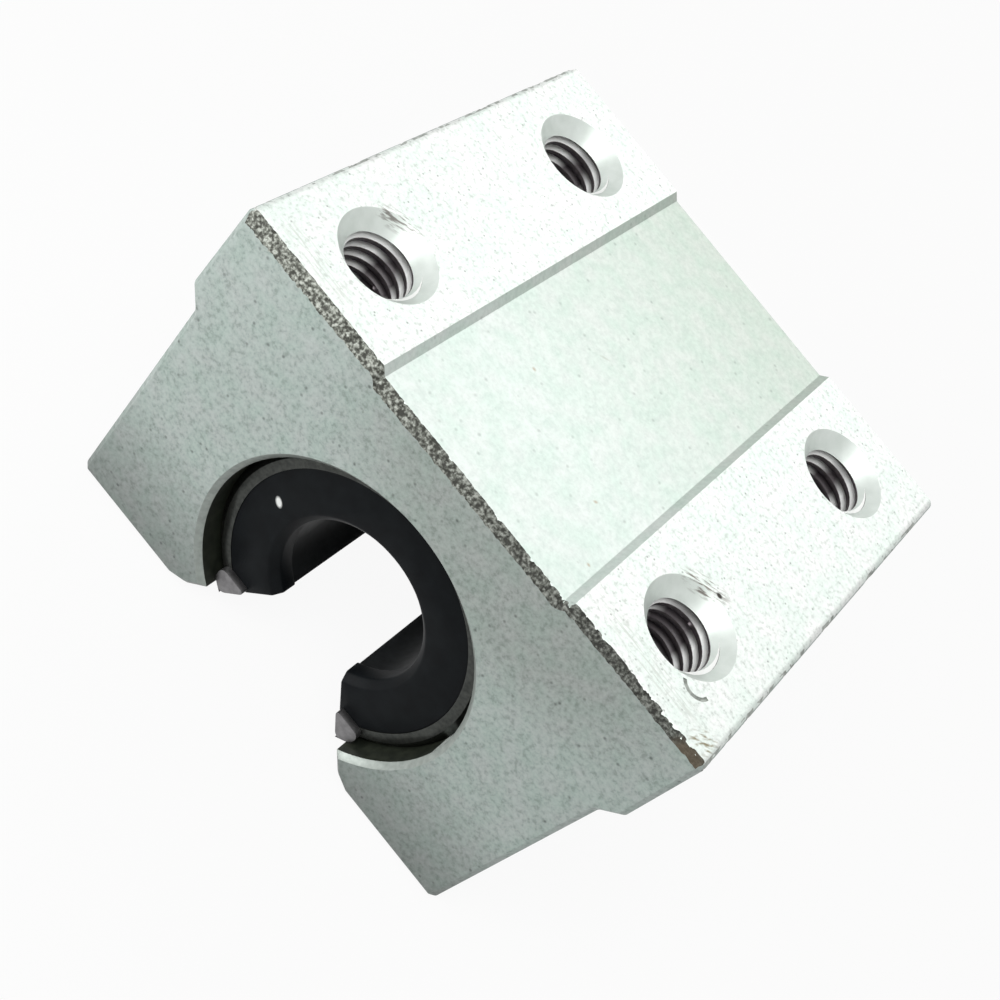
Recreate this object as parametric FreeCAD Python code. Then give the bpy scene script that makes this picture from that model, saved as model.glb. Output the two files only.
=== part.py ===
"""Open-type linear bearing block for a 10 mm supported shaft, in millimetres.

The origin lies on the shaft axis at mid-length. +X runs across the block, +Y along the shaft
and +Z up to the mounting face. The block is open below, where the shaft's support rail passes.
"""
import FreeCAD, Part
import math
import os

Vector = FreeCAD.Vector
ORIGIN = Vector(0, 0, 0)
ALONG = Vector(0, 1, 0)
UP = Vector(0, 0, 1)
SAME_PLACE = 1e-4

# Shaft and rolling elements
SHAFT_DIAMETER = 10.0
BALL_DIAMETER = 2.0
SHAFT_PLAY = 0.03
BALL_PLAY = 0.04
BALL_GAP = 0.02
BALL_SIDES = 8
BALL_BANDS = 6

# Ball circuits: a loaded row on the shaft and a return row lifted off it
CIRCUIT_PLACES = {"left": -1, "top": 0, "right": 1}
CIRCUIT_STEP_ANGLE = 92.0
ROW_RIB = 0.52
RETURN_LIFT = 1.0
ROW_LENGTH = 17.0
LAND_WIDTH = 2.4

# Bearing sleeve, built outwards from the return row
SLEEVE_LENGTH = 29.0
SLEEVE_OPENING_ANGLE = 72.0
RECESS_PLAY = 0.06
SEAT_SHOULDER = 0.22
SLEEVE_RIM = 0.65
SLEEVE_EDGE = 0.5

# Cage, end rings and seals
CAGE_WALL_CLEARANCE = 0.15
CAGE_SHAFT_CLEARANCE = 0.3
SEAL_OPENING_ANGLE = 70.0
SEAL_THICKNESS = 0.6
SEAL_LIP = 0.62
SEAL_LIP_CHAMFER = 0.5
SEAL_CUT_DROP = 6.3
END_RING_THICKNESS = 1.0
RING_TIP_THICKNESS = 0.5
RING_TIP_DROP = 5.85
RING_TIP_CLEARANCE = 0.2
RING_TIP_SPAN = 12.7

# Aluminium housing
BLOCK_WIDTH = 36.0
BLOCK_LENGTH = 32.0
BLOCK_HEIGHT = 24.0
AXIS_TO_TOP = 15.0
HOUSING_OPENING_ANGLE = 80.0
FLANGE_HEIGHT = 6.8
SHOULDER_DROP = 1.3
WAIST_WIDTH = 34.0
FOOT_WIDTH = 33.0
CORNER_RADIUS = 0.5
END_CHAMFER = 0.35
FOOT_CHAMFER = 0.7
SLEEVE_FIT = 0.01
GROOVE_WIDTH = 14.3
GROOVE_DEPTH = 0.45

# Tapped holes in the mounting face
HOLE_SPACING_ACROSS = 25.0
HOLE_SPACING_ALONG = 20.0
TAP_DIAMETER = 4.2
TAP_DEPTH = 10.0
DRILL_POINT_ANGLE = 118.0
COUNTERSINK_DIAMETER = 6.2

# Set screw that holds the sleeve from the side
SCREW_DIAMETER = 4.0
SCREW_LENGTH = 6.0
SCREW_TIP_DIAMETER = 1.6
SCREW_TIP_DEPTH = 0.5
SCREW_SOCKET = 2.0
SCREW_SOCKET_DEPTH = 2.5

# Worked-out radii and stations
BALL_RADIUS = BALL_DIAMETER / 2
LIP_RADIUS = SHAFT_DIAMETER / 2 + SHAFT_PLAY
LOADED_RADIUS = LIP_RADIUS + BALL_RADIUS
RETURN_RADIUS = LOADED_RADIUS + RETURN_LIFT
CHANNEL_RADIUS = BALL_RADIUS + BALL_PLAY
LAND_RADIUS = LOADED_RADIUS + CHANNEL_RADIUS
RECESS_RADIUS = RETURN_RADIUS + CHANNEL_RADIUS + RECESS_PLAY
SEAT_RADIUS = RECESS_RADIUS + SEAT_SHOULDER
SLEEVE_RADIUS = SEAT_RADIUS + SLEEVE_RIM + SLEEVE_EDGE
CAGE_INNER_RADIUS = SHAFT_DIAMETER / 2 + CAGE_SHAFT_CLEARANCE
CAGE_OUTER_RADIUS = RECESS_RADIUS - CAGE_WALL_CLEARANCE
RING_INNER_RADIUS = LIP_RADIUS + SEAL_LIP
SEAT_DEPTH = SEAL_THICKNESS + END_RING_THICKNESS
CAGE_LENGTH = SLEEVE_LENGTH - 2 * SEAT_DEPTH
HOUSING_BORE_RADIUS = SLEEVE_RADIUS + SLEEVE_FIT
TOP = AXIS_TO_TOP
BOTTOM = AXIS_TO_TOP - BLOCK_HEIGHT
BEYOND = BLOCK_WIDTH + BLOCK_LENGTH

# The racetrack of one circuit lies in a plane tilted from the loaded row up to the return row
ROW_PITCH = 2 * CHANNEL_RADIUS + ROW_RIB
LOADED_HEIGHT = math.sqrt(LOADED_RADIUS ** 2 - (ROW_PITCH / 2) ** 2)
RETURN_HEIGHT = math.sqrt(RETURN_RADIUS ** 2 - (ROW_PITCH / 2) ** 2)
TRACK_HEIGHT = (LOADED_HEIGHT + RETURN_HEIGHT) / 2
TRACK_TILT = math.degrees(math.atan2(RETURN_HEIGHT - LOADED_HEIGHT, ROW_PITCH))
TURN_RADIUS = math.hypot(ROW_PITCH, RETURN_HEIGHT - LOADED_HEIGHT) / 2
LOADED_ANGLE = -math.degrees(math.asin(ROW_PITCH / 2 / LOADED_RADIUS))


def tube_y(outer, inner, length):
    """A tube round the shaft axis, centred on the origin."""
    start = Vector(0, -length / 2, 0)
    body = Part.makeCylinder(outer, length, start, ALONG)
    return body.cut(Part.makeCylinder(inner, length, start, ALONG))


def sector_y(middle, half_angle, length):
    """A wedge from the shaft axis outwards, turned by its middle angle from straight up."""
    reach = BEYOND * math.tan(math.radians(half_angle))
    corners = [ORIGIN, Vector(-reach, 0, BEYOND), Vector(reach, 0, BEYOND), ORIGIN]
    wedge = Part.Face(Part.makePolygon(corners)).extrude(Vector(0, length, 0))
    wedge.translate(Vector(0, -length / 2, 0))
    wedge.rotate(ORIGIN, ALONG, middle)
    return wedge


def opening(angle):
    """The wedge left free below the shaft for its support rail."""
    return sector_y(180.0, angle / 2, BEYOND)


def place_circuit(shape, angle):
    """Moves a shape from the flat racetrack's frame to its place round the shaft."""
    placed = shape.copy()
    placed.rotate(ORIGIN, ALONG, -TRACK_TILT)
    placed.translate(Vector(0, 0, TRACK_HEIGHT))
    placed.rotate(ORIGIN, ALONG, angle)
    return placed


def channel():
    """The room the balls of one circuit run in, open outwards so that they can be loaded."""
    half = ROW_LENGTH / 2
    flat = CHANNEL_RADIUS * math.tan(math.radians(22.5))
    across_and_up = [
        (-CHANNEL_RADIUS, SLEEVE_RADIUS), (-CHANNEL_RADIUS, -flat), (-flat, -CHANNEL_RADIUS),
        (flat, -CHANNEL_RADIUS), (CHANNEL_RADIUS, -flat), (CHANNEL_RADIUS, SLEEVE_RADIUS),
    ]
    runs = []
    for side in (-1, 1):
        points = [Vector(side * TURN_RADIUS + x, side * half, z) for x, z in across_and_up]
        section = Part.Face(Part.makePolygon(points + points[:1]))
        runs.append(section.extrude(Vector(0, -side * ROW_LENGTH, 0)))
        runs.append(section.revolve(Vector(0, side * half, 0), UP, 180))
    return runs[0].multiFuse(runs[1:]).removeSplitter()


def faceted_ball():
    """A ball with few faces, because there are dozens of them."""
    def point(band, side):
        latitude = math.pi * band / BALL_BANDS
        longitude = 2 * math.pi * side / BALL_SIDES
        ring = BALL_RADIUS * math.sin(latitude)
        return Vector(ring * math.cos(longitude), ring * math.sin(longitude),
                      BALL_RADIUS * math.cos(latitude))

    north = Vector(0, 0, BALL_RADIUS)
    south = Vector(0, 0, -BALL_RADIUS)
    faces = []
    for side in range(BALL_SIDES):
        after = (side + 1) % BALL_SIDES
        loops = [[north, point(1, side), point(1, after)]]
        for band in range(1, BALL_BANDS - 1):
            loops.append([point(band, side), point(band + 1, side),
                          point(band + 1, after), point(band, after)])
        loops.append([point(BALL_BANDS - 1, side), south, point(BALL_BANDS - 1, after)])
        for loop in loops:
            faces.append(Part.Face(Part.makePolygon(loop + loop[:1])))
    return Part.Solid(Part.Shell(faces))


def track_point(distance):
    """The point of the flat racetrack at a distance along it, from the start of the loaded row."""
    half = ROW_LENGTH / 2
    turn = math.pi * TURN_RADIUS
    if distance < ROW_LENGTH:
        return Vector(-TURN_RADIUS, distance - half, 0)
    distance -= ROW_LENGTH
    if distance < turn:
        angle = math.pi - distance / TURN_RADIUS
        return Vector(TURN_RADIUS * math.cos(angle), half + TURN_RADIUS * math.sin(angle), 0)
    distance -= turn
    if distance < ROW_LENGTH:
        return Vector(TURN_RADIUS, half - distance, 0)
    angle = -(distance - ROW_LENGTH) / TURN_RADIUS
    return Vector(TURN_RADIUS * math.cos(angle), -half + TURN_RADIUS * math.sin(angle), 0)


def ball_circuit(angle):
    """The balls of one circuit, spread evenly with a gap where the turns are tightest."""
    lap = 2 * ROW_LENGTH + 2 * math.pi * TURN_RADIUS
    step = 2 * TURN_RADIUS * math.asin((BALL_DIAMETER + BALL_GAP) / (2 * TURN_RADIUS))
    count = int(lap / step)
    ball = faceted_ball()
    balls = []
    for number in range(count):
        one = ball.copy()
        one.translate(track_point(lap * number / count))
        balls.append(place_circuit(one, angle))
    return Part.Compound(balls)


def bearing_sleeve():
    """The hardened steel sleeve with its three loaded lands and a seat at each end."""
    half = SLEEVE_LENGTH / 2
    seat = half - SEAT_DEPTH
    section = [
        Vector(RECESS_RADIUS, -seat, 0), Vector(SEAT_RADIUS, -seat, 0), Vector(SEAT_RADIUS, -half, 0),
        Vector(SLEEVE_RADIUS - SLEEVE_EDGE, -half, 0), Vector(SLEEVE_RADIUS, -half + SLEEVE_EDGE, 0),
        Vector(SLEEVE_RADIUS, half - SLEEVE_EDGE, 0), Vector(SLEEVE_RADIUS - SLEEVE_EDGE, half, 0),
        Vector(SEAT_RADIUS, half, 0), Vector(SEAT_RADIUS, seat, 0), Vector(RECESS_RADIUS, seat, 0),
    ]
    body = Part.Face(Part.makePolygon(section + section[:1])).revolve(ORIGIN, ALONG, 360)
    land_ring = tube_y((RECESS_RADIUS + SLEEVE_RADIUS) / 2, LAND_RADIUS, ROW_LENGTH)
    land_angle = math.degrees(math.asin(LAND_WIDTH / 2 / LAND_RADIUS))
    for place in CIRCUIT_PLACES.values():
        angle = place * CIRCUIT_STEP_ANGLE
        body = body.fuse(land_ring.common(sector_y(angle + LOADED_ANGLE, land_angle, ROW_LENGTH)))
    return body.cut(opening(SLEEVE_OPENING_ANGLE)).cut(screw_point()).removeSplitter()


def ball_cage():
    """The resin cage with its three racetracks and the notches that clear the sleeve's lands."""
    body = tube_y(CAGE_OUTER_RADIUS, CAGE_INNER_RADIUS, CAGE_LENGTH)
    notch_length = ROW_LENGTH + 2 * CAGE_WALL_CLEARANCE
    notch_radius = LAND_RADIUS - CAGE_WALL_CLEARANCE
    notch_width = LAND_WIDTH / 2 + CAGE_WALL_CLEARANCE
    notch_angle = math.degrees(math.asin(notch_width / LAND_RADIUS))
    notch_ring = tube_y(SLEEVE_RADIUS, notch_radius, notch_length)
    room = channel()
    for place in CIRCUIT_PLACES.values():
        angle = place * CIRCUIT_STEP_ANGLE
        notch = notch_ring.common(sector_y(angle + LOADED_ANGLE, notch_angle, notch_length))
        body = body.cut(notch).cut(place_circuit(room, angle))
    return body.cut(opening(SEAL_OPENING_ANGLE))


def below(drop, width):
    """A box of the given width that fills the space below a level under the shaft axis."""
    return Part.makeBox(width, BEYOND, BEYOND, Vector(-width / 2, -BEYOND / 2, -BEYOND - drop))


def end_ring(end):
    """The steel ring that closes the cage in at one end, its two tips turned out over the sleeve's rim."""
    face = SLEEVE_LENGTH / 2
    ring = tube_y(SEAT_RADIUS, RING_INNER_RADIUS, END_RING_THICKNESS)
    ring.translate(Vector(0, end * (face - SEAL_THICKNESS - END_RING_THICKNESS / 2), 0))
    neck = tube_y(SEAT_RADIUS, RING_INNER_RADIUS, SEAL_THICKNESS)
    neck.translate(Vector(0, end * (face - SEAL_THICKNESS / 2), 0))
    tip = tube_y(SLEEVE_RADIUS - RING_TIP_CLEARANCE, RING_INNER_RADIUS, RING_TIP_THICKNESS)
    tip.translate(Vector(0, end * (face + RING_TIP_THICKNESS / 2), 0))
    neck = neck.common(below(SEAL_CUT_DROP, BEYOND))
    tip = tip.common(below(RING_TIP_DROP, RING_TIP_SPAN))
    return ring.fuse([neck, tip]).cut(opening(SLEEVE_OPENING_ANGLE)).removeSplitter()


def seal(end):
    """The rubber seal: a plate with a lip on the shaft, its ends cut level beside the opening."""
    face = SLEEVE_LENGTH / 2
    plate = face - SEAL_THICKNESS
    back = face - SEAT_DEPTH
    section = [
        Vector(LIP_RADIUS, end * back, 0), Vector(RING_INNER_RADIUS, end * back, 0),
        Vector(RING_INNER_RADIUS, end * plate, 0), Vector(SEAT_RADIUS, end * plate, 0),
        Vector(SEAT_RADIUS, end * face, 0), Vector(LIP_RADIUS + SEAL_LIP_CHAMFER, end * face, 0),
        Vector(LIP_RADIUS, end * (face - SEAL_LIP_CHAMFER), 0),
    ]
    body = Part.Face(Part.makePolygon(section + section[:1])).revolve(ORIGIN, ALONG, 360)
    return body.cut(opening(SEAL_OPENING_ANGLE)).cut(below(SEAL_CUT_DROP, BEYOND))


def screw_point():
    """The set screw's blank with its point, which also sinks its seat in the sleeve."""
    tip = SLEEVE_RADIUS - SCREW_TIP_DEPTH
    shoulder = tip + (SCREW_DIAMETER - SCREW_TIP_DIAMETER) / 2
    head = tip + SCREW_LENGTH
    section = [
        Vector(tip, 0, 0), Vector(tip, SCREW_TIP_DIAMETER / 2, 0), Vector(shoulder, SCREW_DIAMETER / 2, 0),
        Vector(head, SCREW_DIAMETER / 2, 0), Vector(head, 0, 0), Vector(tip, 0, 0),
    ]
    return Part.Face(Part.makePolygon(section)).revolve(ORIGIN, Vector(1, 0, 0), 360)


def set_screw():
    """A headless screw with a hexagon socket, at shaft height on the right-hand side."""
    head = SLEEVE_RADIUS - SCREW_TIP_DEPTH + SCREW_LENGTH
    corner = SCREW_SOCKET / math.sqrt(3)
    corners = []
    for number in range(7):
        angle = math.radians(60 * number)
        corners.append(Vector(head, corner * math.cos(angle), corner * math.sin(angle)))
    socket = Part.Face(Part.makePolygon(corners)).extrude(Vector(-SCREW_SOCKET_DEPTH, 0, 0))
    return screw_point().cut(socket)


def housing_outline():
    """Half the extrusion's outline at the right, from the groove's middle down to the foot's inner edge."""
    groove = GROOVE_WIDTH / 2
    flange = BLOCK_WIDTH / 2
    step = TOP - FLANGE_HEIGHT
    return [
        (groove, TOP - GROOVE_DEPTH), (groove + GROOVE_DEPTH, TOP), (flange, TOP), (flange, step),
        (WAIST_WIDTH / 2, step - SHOULDER_DROP), (FOOT_WIDTH / 2, BOTTOM),
    ]


def tapped_hole(x, y):
    """The drilled and countersunk room of one tapped hole, from the mounting face down."""
    radius = TAP_DIAMETER / 2
    point = radius / math.tan(math.radians(DRILL_POINT_ANGLE / 2))
    sink = COUNTERSINK_DIAMETER / 2
    section = [
        Vector(0, 0, TOP), Vector(sink, 0, TOP), Vector(radius, 0, TOP - (sink - radius)),
        Vector(radius, 0, TOP - TAP_DEPTH), Vector(0, 0, TOP - TAP_DEPTH - point), Vector(0, 0, TOP),
    ]
    room = Part.Face(Part.makePolygon(section)).revolve(ORIGIN, UP, 360)
    room.translate(Vector(x, y, 0))
    return room


def edges_along(body, picks):
    """The body's straight edges along the shaft whose middle is picked by its x and z."""
    found = []
    for edge in body.Edges:
        middle = edge.CenterOfMass
        along = edge.tangentAt(edge.FirstParameter).cross(ALONG).Length < SAME_PLACE
        if along and picks(middle.x, middle.z):
            found.append(edge)
    return found


def housing():
    """The extruded aluminium block, bored for the sleeve and opened below."""
    right = housing_outline()
    left = [(-x, z) for x, z in reversed(right)]
    points = [Vector(x, -BLOCK_LENGTH / 2, z) for x, z in right + left]
    body = Part.Face(Part.makePolygon(points + points[:1])).extrude(Vector(0, BLOCK_LENGTH, 0))
    outside = edges_along(body, lambda x, z: abs(x) > GROOVE_WIDTH / 2 + 2 * GROOVE_DEPTH)
    body = body.makeFillet(CORNER_RADIUS, outside)
    start = Vector(0, -BLOCK_LENGTH / 2, 0)
    body = body.cut(Part.makeCylinder(HOUSING_BORE_RADIUS, BLOCK_LENGTH, start, ALONG))
    body = body.cut(opening(HOUSING_OPENING_ANGLE))
    bottom = edges_along(body, lambda x, z: z - BOTTOM < SAME_PLACE)
    inner = min(abs(edge.CenterOfMass.x) for edge in bottom)
    feet = [edge for edge in bottom if abs(edge.CenterOfMass.x) - inner < SAME_PLACE]
    body = body.makeChamfer(FOOT_CHAMFER, feet)
    ends = [edge for edge in body.Edges if edge.BoundBox.YLength < SAME_PLACE]
    body = body.makeChamfer(END_CHAMFER, ends)
    for across in (-1, 1):
        for along in (-1, 1):
            body = body.cut(tapped_hole(across * HOLE_SPACING_ACROSS / 2, along * HOLE_SPACING_ALONG / 2))
    return body.cut(Part.makeCylinder(SCREW_DIAMETER / 2, BEYOND, ORIGIN, Vector(1, 0, 0)))


os.makedirs("parts", exist_ok=True)
pieces = {
    "housing": housing(),
    "bearing_sleeve": bearing_sleeve(),
    "ball_cage": ball_cage(),
    "end_ring_front": end_ring(-1),
    "end_ring_rear": end_ring(1),
    "seal_front": seal(-1),
    "seal_rear": seal(1),
    "set_screw": set_screw(),
}
for name, place in CIRCUIT_PLACES.items():
    pieces["ball_circuit_" + name] = ball_circuit(place * CIRCUIT_STEP_ANGLE)
for name, shape in pieces.items():
    shape.exportStep("parts/" + name + ".step")
    print(name, "solids", len(shape.Solids), "valid", shape.isValid(), "volume", round(shape.Volume, 2))
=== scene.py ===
# %% [markdown]
# # An open-type linear bearing block
# A small aluminium block that carries an open ball bearing for a supported round shaft.
# The CAD model gives every solid its place and size, in metres after loading. This lesson
# keeps that frame and dresses it: threads, torn edges, round balls, soft edges and finishes.

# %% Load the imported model
import math

import bmesh
import bpy
from mathutils import Matrix, Vector


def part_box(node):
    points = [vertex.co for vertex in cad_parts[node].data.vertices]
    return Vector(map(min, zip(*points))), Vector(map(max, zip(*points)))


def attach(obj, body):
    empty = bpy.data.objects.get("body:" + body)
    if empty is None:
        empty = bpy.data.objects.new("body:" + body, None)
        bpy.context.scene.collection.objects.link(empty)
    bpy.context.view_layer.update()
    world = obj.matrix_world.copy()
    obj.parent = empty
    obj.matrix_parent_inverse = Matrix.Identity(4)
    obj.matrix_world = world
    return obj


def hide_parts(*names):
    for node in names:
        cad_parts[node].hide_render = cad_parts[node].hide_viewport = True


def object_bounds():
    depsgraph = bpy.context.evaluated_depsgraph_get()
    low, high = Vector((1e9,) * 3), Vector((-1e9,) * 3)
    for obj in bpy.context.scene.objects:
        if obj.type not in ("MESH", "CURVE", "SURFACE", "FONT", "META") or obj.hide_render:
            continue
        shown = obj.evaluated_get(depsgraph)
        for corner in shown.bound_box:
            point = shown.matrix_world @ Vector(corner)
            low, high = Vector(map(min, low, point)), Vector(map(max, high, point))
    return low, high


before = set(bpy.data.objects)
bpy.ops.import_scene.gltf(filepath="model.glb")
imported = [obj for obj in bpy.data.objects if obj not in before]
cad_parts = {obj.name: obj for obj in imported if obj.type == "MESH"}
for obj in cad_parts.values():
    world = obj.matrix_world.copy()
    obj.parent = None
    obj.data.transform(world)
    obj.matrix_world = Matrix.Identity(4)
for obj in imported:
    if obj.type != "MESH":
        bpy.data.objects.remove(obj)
cad_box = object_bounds()
print("CAD nodes:", sorted(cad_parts))

# %% [markdown]
# ## Small helpers
# Blender's operators act on whatever is selected, and loading leaves every node selected.
# So one helper clears the selection and picks a single object, and one copies a CAD node:
# its loose triangles are merged first, and flat areas are dissolved into whole faces, so
# that bevels and cuts have clean edges to work on.

# %% Selecting and copying
MM = 0.001
SAME_POINT = 0.001 * MM
FLAT_WITHIN = math.radians(0.4)
SHARP_OVER = math.radians(28)
SMOOTH_UNDER = math.radians(32)


def pick_only(piece):
    if bpy.context.object and bpy.context.object.mode != "OBJECT":
        bpy.ops.object.mode_set(mode="OBJECT")
    bpy.ops.object.select_all(action="DESELECT")
    piece.select_set(True)
    bpy.context.view_layer.objects.active = piece


def edit_all(piece):
    pick_only(piece)
    bpy.ops.object.mode_set(mode="EDIT")
    bpy.ops.mesh.select_mode(type="FACE")
    bpy.ops.mesh.select_all(action="SELECT")


def done_editing():
    bpy.ops.object.mode_set(mode="OBJECT")


def own_copy(source, name):
    """A copy with a mesh of its own."""
    copy = source.copy()
    copy.data = source.data.copy()
    copy.name = copy.data.name = name
    bpy.context.scene.collection.objects.link(copy)
    return copy


def merged_copy(node, name):
    """A CAD node's copy, free of the node's own settings, with whole flat faces."""
    piece = own_copy(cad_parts[node], name)
    for key in list(piece.keys()):
        del piece[key]
    piece.parent = None
    piece.data.materials.clear()
    edit_all(piece)
    bpy.ops.mesh.remove_doubles(threshold=SAME_POINT)
    bpy.ops.mesh.dissolve_limited(angle_limit=FLAT_WITHIN)
    done_editing()
    return piece


def join(parts):
    pick_only(parts[0])
    for part in parts:
        part.select_set(True)
    bpy.ops.object.join()
    return parts[0]


def apply_modifier(piece, kind, **settings):
    pick_only(piece)
    modifier = piece.modifiers.new(kind.title(), kind)
    for setting, value in settings.items():
        setattr(modifier, setting, value)
    bpy.ops.object.modifier_apply(modifier=modifier.name)


def soften(piece, width):
    """Rounds every sharp edge by a width in mm."""
    apply_modifier(
        piece, "BEVEL", width=width * MM, segments=2, limit_method="ANGLE", angle_limit=SHARP_OVER
    )


def smooth(piece):
    pick_only(piece)
    bpy.ops.object.shade_smooth_by_angle(angle=SMOOTH_UNDER)


def stands_for(piece, slot, *nodes):
    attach(piece, "root")
    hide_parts(*nodes)
    print(piece.name, len(piece.data.polygons), "faces, stands for", nodes)


print("helpers ready")

# %% [markdown]
# ## Finishes: the functions they share
# Colours are written as hex values, as a colour picker shows them, and Blender works with
# linear light, so one function converts them. Another adds a node with its settings and
# links in one line. Patterns read Object coordinates, which are metres here, so a pattern
# with a feature of so many millimetres has a scale of 1 / (that many millimetres).

# %% Colour and node functions
# A spot fades out between these shares of its reach, and streaks come from this band of noise.
SPOT_EDGE, SPOT_CORE = 1.0, 0.55
STREAK_LOW, STREAK_HIGH = 0.48, 0.62
STREAK_STRETCH = (0.35, 1, 1)
# Noise hardly leaves this band, so a colour ramp runs from one end of it to the other.
NOISE_LOW, NOISE_HIGH = 0.3, 0.7


def linear(hex_colour):
    """A picker's hex colour as linear light."""
    channels = [int(hex_colour[i:i + 2], 16) / 255 for i in (1, 3, 5)]
    light = [c / 12.92 if c <= 0.04045 else ((c + 0.055) / 1.055) ** 2.4 for c in channels]
    return (*light, 1.0)


def per(millimetres):
    """The scale of a pattern with a feature of so many mm."""
    return 1 / (millimetres * MM)


def add_node(tree, kind, values=None, links=None, stops=None, **settings):
    """Adds a node; a ramp's stops are (position, hex colour), its two own ends first."""
    node = tree.nodes.new(kind)
    for setting, value in settings.items():
        setattr(node, setting, value)
    for socket, value in (values or {}).items():
        node.inputs[socket].default_value = value
    for socket, source in (links or {}).items():
        tree.links.new(source, node.inputs[socket])
    for place, (position, colour) in enumerate(stops or []):
        points = node.color_ramp.elements
        point = points[place] if place < 2 else points.new(position)
        point.position = position
        point.color = linear(colour)
    return node


def new_finish(name, constants):
    material = bpy.data.materials.new(name)
    material.use_nodes = True
    tree = material.node_tree
    shader = tree.nodes["Principled BSDF"]
    for socket, value in constants.items():
        shader.inputs[socket].default_value = value
    place = add_node(tree, "ShaderNodeTexCoord").outputs["Object"]
    return material, tree, shader, place


def tint_spot(tree, place, colour, under, middle, reach, turn=(0, 0, 0), streak=None, blend="MIX"):
    """Lays a colour over another within an ellipsoid (in mm), whole or broken up into streaks."""
    centred = add_node(
        tree, "ShaderNodeMapping",
        {"Location": Vector(middle) * MM, "Rotation": turn, "Scale": Vector(reach) * MM},
        {"Vector": place}, vector_type="TEXTURE",
    )
    distance = add_node(
        tree, "ShaderNodeVectorMath", links={0: centred.outputs["Vector"]}, operation="LENGTH"
    )
    inside = add_node(
        tree, "ShaderNodeMapRange", {"From Min": SPOT_EDGE, "From Max": SPOT_CORE},
        {"Value": distance.outputs["Value"]},
    )
    share = inside.outputs["Result"]
    if streak:
        drawn = add_node(
            tree, "ShaderNodeMapping", {"Scale": STREAK_STRETCH},
            {"Vector": centred.outputs["Vector"]},
        )
        lines = add_node(
            tree, "ShaderNodeTexNoise", {"Scale": streak, "Detail": 2.0},
            {"Vector": drawn.outputs["Vector"]},
        )
        broken = add_node(
            tree, "ShaderNodeMapRange", {"From Min": STREAK_LOW, "From Max": STREAK_HIGH},
            {"Value": lines.outputs["Fac"]},
        )
        both = add_node(
            tree, "ShaderNodeMath", links={0: share, 1: broken.outputs["Result"]},
            operation="MULTIPLY",
        )
        share = both.outputs["Value"]
    laid = add_node(tree, "ShaderNodeMix", data_type="RGBA", blend_type=blend)
    # A Mix node's colour sockets are 6 and 7, and its colour output is 2.
    tree.links.new(share, laid.inputs["Factor"])
    tree.links.new(under, laid.inputs[6])
    laid.inputs[7].default_value = linear(colour)
    return laid.outputs[2]


def mottled_finish(
    name, constants, feature, low, high, height=0.0, stretch=(1, 1, 1), marks=()
):
    """Drifts between two colours over features of so many mm, and rises with them."""
    material, tree, shader, place = new_finish(name, constants)
    laid = add_node(tree, "ShaderNodeMapping", {"Scale": stretch}, {"Vector": place})
    drift = add_node(
        tree, "ShaderNodeTexNoise", {"Scale": per(feature), "Detail": 3.0},
        {"Vector": laid.outputs["Vector"]},
    )
    ramp = add_node(
        tree, "ShaderNodeValToRGB", links={"Fac": drift.outputs["Fac"]},
        stops=[(NOISE_LOW, low), (NOISE_HIGH, high)],
    )
    colour = ramp.outputs["Color"]
    for spot in marks:
        colour = tint_spot(tree, place, under=colour, **spot)
    tree.links.new(colour, shader.inputs["Base Color"])
    if height:
        bump = add_node(
            tree, "ShaderNodeBump", {"Strength": 0.5, "Distance": height * MM},
            {"Height": drift.outputs["Fac"]},
        )
        tree.links.new(bump.outputs["Normal"], shader.inputs["Normal"])
    return material


print("functions for finishes ready")

# %% [markdown]
# ## Bead-blasted, clear-anodised aluminium
# The block is sawn from an extrusion, blasted with glass beads and anodised without dye.
# The beads leave a dull skin of tiny craters, so the metal has no mirror image: it shows
# a faint grain, a few larger pits, and a soft sheen under the light. Real craters of about
# 0.05 mm wouldn't show, so the grain is drawn as noise of 0.3 mm. The pits are sparse Voronoi
# dots, and slow clouds shift the tint a little between greenish and neutral grey, as the
# oxide's thickness does.

# %% Anodised aluminium
TOP = cad_box[1].z / MM
GRAIN_SIZE = 0.3
CLOUD_SIZE = 1.6
CRATER_HEIGHT = 0.03
# A pit is dark within the first share of the pits' spacing and gone at the second.
PIT_INSIDE, PIT_OUTSIDE = 0.04, 0.15
TINTS = "#F5FAF7", "#FFFCFD"
EVERYWHERE = 200
MARK_HEIGHT = 0.8


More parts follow.
